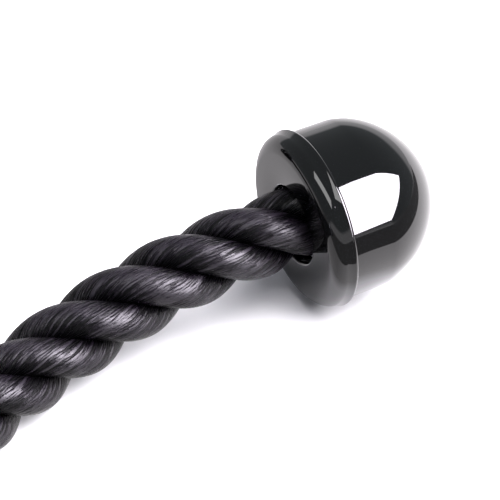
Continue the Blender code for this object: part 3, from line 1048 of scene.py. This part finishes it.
@dataclass
class EndFittings:
    """What holds one end of the rope inside its ball: washer, swaged ferrule, tape and melted bead.

    A tube's size is its inner and outer radius and its two ends' heights in the ball.
    """

    ball: BallStopper
    washer: tuple[float, float, float, float] = (15.5 * MM, 19.6 * MM, -2.2 * MM, -0.6 * MM)
    ferrule: tuple[float, float, float, float] = (15.5 * MM, 17.9 * MM, -0.3 * MM, 21.7 * MM)
    tape: tuple[float, float, float, float] = (14.6 * MM, 15.2 * MM, -0.3 * MM, 21.7 * MM)
    edge: float = 0.3 * MM
    edge_soft: float = 0.09 * MM
    grooves: int = 3
    groove: float = 0.9 * MM
    groove_power: float = 0.6
    groove_steps: int = 12
    tape_turns: int = 5
    tape_cover: float = 0.94
    tape_step: float = 0.12 * MM
    bead_low: float = 21.9 * MM
    bead_high: float = 29.5 * MM
    bead_neck: float = 14.3 * MM
    bead_flare: float = 2.4 * MM
    bead_power: float = 3.0
    bead_steps: int = 14
    flare_height: float = 1.8 * MM
    flare_steps: int = 6
    bead_lumps: tuple[tuple[int, float], ...] = ((3, 0.022), (5, 0.014), (8, 0.008))
    steps: int = 96

    def tube(self, size: tuple[float, float, float, float]) -> Profile:
        """The section of a ring with bevelled edges."""
        inner, outer, low, high = size
        edge, soft = self.edge, self.edge_soft
        lower = [
            (inner, low + edge),
            (inner + edge, low),
            (outer - edge, low),
            (outer - soft, low + soft),
            (outer, low + edge),
        ]
        return lower + [(out, low + high - up) for out, up in reversed(lower)]

    def ferrule_section(self) -> Profile:
        """The ferrule's section, with the smooth grooves of the swaging die."""
        _, outer, low, high = self.ferrule
        section = self.tube(self.ferrule)
        half = len(section) // 2
        pitch = (high - low) / (2 * self.grooves + 1)
        shares = [i / self.groove_steps for i in range(1, self.groove_steps)]
        dips = [(share, self.groove * math.sin(math.pi * share) ** self.groove_power) for share in shares]
        waves = []
        for groove in range(self.grooves):
            start = low + pitch * (2 * groove + 1)
            waves += [(outer - dip, start + pitch * share) for share, dip in [(0.0, 0.0), *dips, (1.0, 0.0)]]
        return section[:half] + waves + section[half:]

    def tape_section(self) -> Profile:
        """The tape's section, with a small step at each turn."""
        inner, outer, low, high = self.tape
        pitch = (high - low) / self.tape_turns
        section = [(inner, low)]
        for turn in range(self.tape_turns):
            start = low + pitch * turn
            section += [(outer - self.tape_step, start), (outer, start + pitch * self.tape_cover)]
        return section + [(outer - self.tape_step, high), (inner, high)]

    def bead_section(self) -> Profile:
        """Half the section of the melted end: a neck, a flare and a low crown."""
        middle = (self.bead_low + self.bead_high) / 2
        crown = quarter_arc(
            self.bead_neck + self.bead_flare, self.bead_high - middle, self.bead_power, self.bead_steps
        )
        section = [(0.0, self.bead_low)]
        for share in (i / self.flare_steps for i in range(self.flare_steps + 1)):
            out = self.bead_neck + self.bead_flare * eased(share)
            section.append((out, self.bead_low + self.flare_height * share))
        return section + [(out, middle + up) for out, up in crown]

    def lumpy(self, bm: bmesh.types.BMesh) -> None:
        """Make the melted end uneven all round.

        Args:
            bm: Its bmesh.
        """
        for vertex in bm.verts:
            angle = math.atan2(vertex.co.y, vertex.co.x)
            growth = 1 + sum(size * math.sin(count * angle + count) for count, size in self.bead_lumps)
            vertex.co.x *= growth
            vertex.co.y *= growth

    def build(self) -> None:
        """Build the fittings of one end."""
        side = self.ball.side
        for name, profile, closed, finish, node in (
            ("flat_washer", self.tube(self.washer), True, ZINC_PLATE, "end_washer"),
            ("swaged_ferrule", self.ferrule_section(), True, PLAIN_STEEL, "end_ferrule"),
            ("wound_tape", self.tape_section(), True, WOUND_TAPE, "end_tape"),
            ("melted_end", self.bead_section(), False, MELTED_NYLON, "rope_end"),
        ):
            bm = spun(profile, self.steps, closed)
            if finish is MELTED_NYLON:
                self.lumpy(bm)
            bm.transform(self.ball.seat())
            dress(stand(f"{name}_{side.label}", bm, finish), side.body, f"{node}_{side.label}")


def aimed(data: bpy.types.ID, place: Vector, turned: Quaternion) -> bpy.types.Object:
    """Put a camera or a light into the scene.

    Args:
        data: The camera or light.
        place: Where it stands.
        turned: Its turn.

    Returns:
        Its object.
    """
    made = bpy.data.objects.new(data.name, data)
    made.location = place
    made.rotation_mode = "QUATERNION"
    made.rotation_quaternion = turned
    bpy.context.scene.collection.objects.link(made)
    return made


@dataclass(frozen=True)
class PhotoCamera:
    """The camera at the photograph's angle, worked out from the ball's rim and bore."""

    target: tuple[float, float, float] = (0.0808, 0.1516, 0.0)
    turn: float = math.radians(20)
    pitch: float = math.radians(40)
    distance: float = 1.1
    sensor: float = 36.0
    lens: float = 203.0
    clip: Range = (0.05, 50.0)

    def build(self) -> None:
        """Make the camera and use it."""
        data = bpy.data.cameras.new("photo_camera")
        data.sensor_width = self.sensor
        data.lens = self.lens
        data.clip_start, data.clip_end = self.clip
        back = heading(self.turn - math.pi / 2, self.pitch)
        turned = (-back).to_track_quat("-Z", "Y")
        bpy.context.scene.camera = aimed(data, Vector(self.target) + back * self.distance, turned)


def seen_from_camera(azimuth: float, height: float) -> Vector:
    """A direction from its azimuth, counted from the photograph's right-hand side, and its height."""
    return heading(math.radians(azimuth) + PhotoCamera.turn, math.radians(height))


@dataclass(frozen=True)
class Softbox:
    """One rectangular studio light, seen from the ball.

    Azimuths are counted from the photograph's right-hand side, through the far side, in degrees. Where it
    faces the ball, facing is left out.
    """

    name: str
    azimuth: float
    height: float
    distance: float
    width: float
    depth: float
    power: float
    facing: Range | None = None
    roll: float = 0.0
    mirrored: bool = True
    tint: Colour = (1.0, 1.0, 1.0)

    def build(self, aim: Vector) -> None:
        """Hang the light, which either shows in reflections or lights the table.

        Args:
            aim: The point that it is placed from.
        """
        data = bpy.data.lights.new(self.name, "AREA")
        data.shape = "RECTANGLE"
        data.size, data.size_y = self.width, self.depth
        data.energy = self.power
        data.color = self.tint
        away = seen_from_camera(self.azimuth, self.height)
        faced = seen_from_camera(*self.facing) if self.facing else away
        turned = (-faced).to_track_quat("-Z", "Y") @ Quaternion((0, 0, 1), math.radians(self.roll))
        light = aimed(data, aim + away * self.distance, turned)
        light.visible_camera = False
        light.visible_diffuse = not self.mirrored
        light.visible_glossy = self.mirrored


@dataclass(frozen=True)
class Studio:
    """The pale table, world and lights, and pale and dark glowing sheets seen only as painted floor
    reflections.
    """

    aim: tuple[float, float, float] = (0.11, 0.14, 0.035)
    sheet_size: float = 8.0
    sheet_roughness: float = 0.7
    table_drop: float = 0.20 * MM
    table_shade: Colour = (0.80, 0.775, 0.82)
    # The dark sheets glow faintly and show only in reflections: painted dark reflections in place of the
    # floor.
    dark_glow: float = 0.35
    dark_size: float = 3.0
    dark_drop: float = 0.15 * MM
    dark_step: float = 0.01 * MM
    dark_corner: Range = (95.0 * MM, -82.0 * MM)
    dark_azimuths: tuple[float, ...] = (3.0, -87.0, -122.0)
    pale_drop: float = 0.18 * MM
    pale_glow: float = 2.9
    pale_left: float = 0.40
    pale_turn: Range = (-0.3, 1.0)
    pale_hole: Range = (42.0 * MM, 55.0 * MM)
    mirrored_tint: Colour = (1.0, 0.965, 1.0)
    world_strength: float = 2.2
    world_edge: Range = (0.18, 0.26)
    low_world: Colour = (0.56, 0.55, 0.57)
    high_world: Colour = (0.150, 0.160, 0.168)
    clear_middle: float = 0.05
    clear_half: float = 0.45
    side_rise: float = 2.0
    softboxes: tuple[Softbox, ...] = (
        Softbox(
            "window", azimuth=-27.93, height=44.68, distance=1.3053, width=1.05, depth=1.48, power=172.5,
            facing=(-13.2, -6.5), roll=20.1, tint=(1.0, 0.95, 1.04),
        ),
        Softbox(
            "shoulder", azimuth=-124.0, height=57.0, distance=1.3, width=1.09, depth=0.52, power=10.0,
            roll=-13.8,
        ),
        Softbox(
            "overhead", azimuth=0.0, height=56.0, distance=1.6, width=2.2, depth=2.2, power=190.0,
            mirrored=False,
        ),
    )

    def build(self) -> None:
        """Build the table, the glowing sheets of painted reflection, the world and the lights."""
        aim = Vector(self.aim)
        self.sheet("white_table", self.sheet_size, (0.0, 0.0, -self.table_drop), 0.0, self.table_shade, 0.0)
        self.build_pale_floor(aim)
        # Lay the dark glowing sheets, seen only in reflections: painted dark reflections in the ball.
        across, along = self.dark_corner
        corner = aim + seen_from_camera(0, 0) * across + seen_from_camera(90, 0) * along
        for number, azimuth in enumerate(self.dark_azimuths):
            middle = corner + seen_from_camera(azimuth, 0) * (self.dark_size / math.sqrt(2))
            turn = math.radians(azimuth + 45) + PhotoCamera.turn
            place = (middle.x, middle.y, number * self.dark_step - self.dark_drop)
            self.sheet(f"dark_floor_{number}", self.dark_size, place, turn, None, self.dark_glow)
        self.build_world()
        for softbox in self.softboxes:
            softbox.build(aim)
        bpy.context.scene.view_settings.view_transform = "Standard"

    def build_pale_floor(self, aim: Vector) -> None:
        """Lay a glowing sheet that paints the floor's reflection away from the ball's own shadow, brightest
        on the right.

        Args:
            aim: The point round which the table itself shows.
        """
        place = (aim.x, aim.y, -self.pale_drop)
        shader = self.sheet("pale_floor", self.sheet_size, place, PhotoCamera.turn, None, self.pale_glow)
        x, y, _ = shader.parts(shader.place())
        away = (x * x + y * y).root() + MM
        side = shader.span(x / away, *self.pale_turn)
        left = tuple(part * self.pale_left for part in self.mirrored_tint)
        # The emission is a painted reflection of the floor, brighter towards the right-hand side.
        shader.set(
            emission_color=shader.blend(side, (*left, 1.0), (*self.mirrored_tint, 1.0)),
            alpha=shader.span(away, *self.pale_hole),
        )

    def sheet(
        self, name: str, size: float, place: Sequence[float], turn: float, shade: Colour | None, glow: float
    ) -> Shader:
        """Lay a flat square that belongs to the stage.

        Args:
            name: The square's name.
            size: Its side.
            place: Its middle.
            turn: Its turn about Z.
            shade: Its colour, or none where only reflections show it.
            glow: The strength of its own light.

        Returns:
            Its shader.
        """
        bm = bmesh.new()
        bmesh.ops.create_grid(bm, x_segments=1, y_segments=1, size=size / 2)
        mesh = bpy.data.meshes.new(name)
        bm.to_mesh(mesh)
        bm.free()
        shader = Shader(name)
        shader.set(base_color=shade or BLACK, roughness=self.sheet_roughness, specular_ior_level=0.0)
        shader.set(emission_color=self.mirrored_tint, emission_strength=glow)
        mesh.materials.append(shader.material)
        square = bpy.data.objects.new(name, mesh)
        square.location = place
        square.rotation_euler.z = turn
        bpy.context.scene.collection.objects.link(square)
        if shade is None:
            square.visible_camera = square.visible_diffuse = square.visible_shadow = False
        return shader

    def build_world(self) -> None:
        """A world that is white round the horizon behind the table, and dim overhead and to both sides."""
        world = bpy.data.worlds.new("studio_world")
        bpy.context.scene.world = world
        shader = Shader("studio world", world)
        x, y, z = shader.parts(shader.place("Generated"))
        right = seen_from_camera(0, 0)
        beyond = (x * right.x + y * right.y - self.clear_middle).absolute() - self.clear_half
        height = z + beyond.positive() ** 2.0 * self.side_rise
        stops = list(zip(self.world_edge, (self.low_world, self.high_world)))
        shader.set(color=shader.ramp(height, stops), strength=self.world_strength)


def main() -> None:
    """Build the camera, the rope and then every piece that dresses the part."""
    logging.basicConfig(level=logging.INFO, format="%(name)s: %(message)s")
    PhotoCamera().build()
    route = RopeRoute()
    RopePieces(LaidRope(route)).build()
    PressedSleeve(route).build()
    FoldSaddle(route).build()
    WeldedRing().build()
    for side in Side:
        ball = BallStopper(route, side)
        ball.build()
        EndFittings(ball).build()
    Studio().build()


if __name__ == "__main__":
    main()
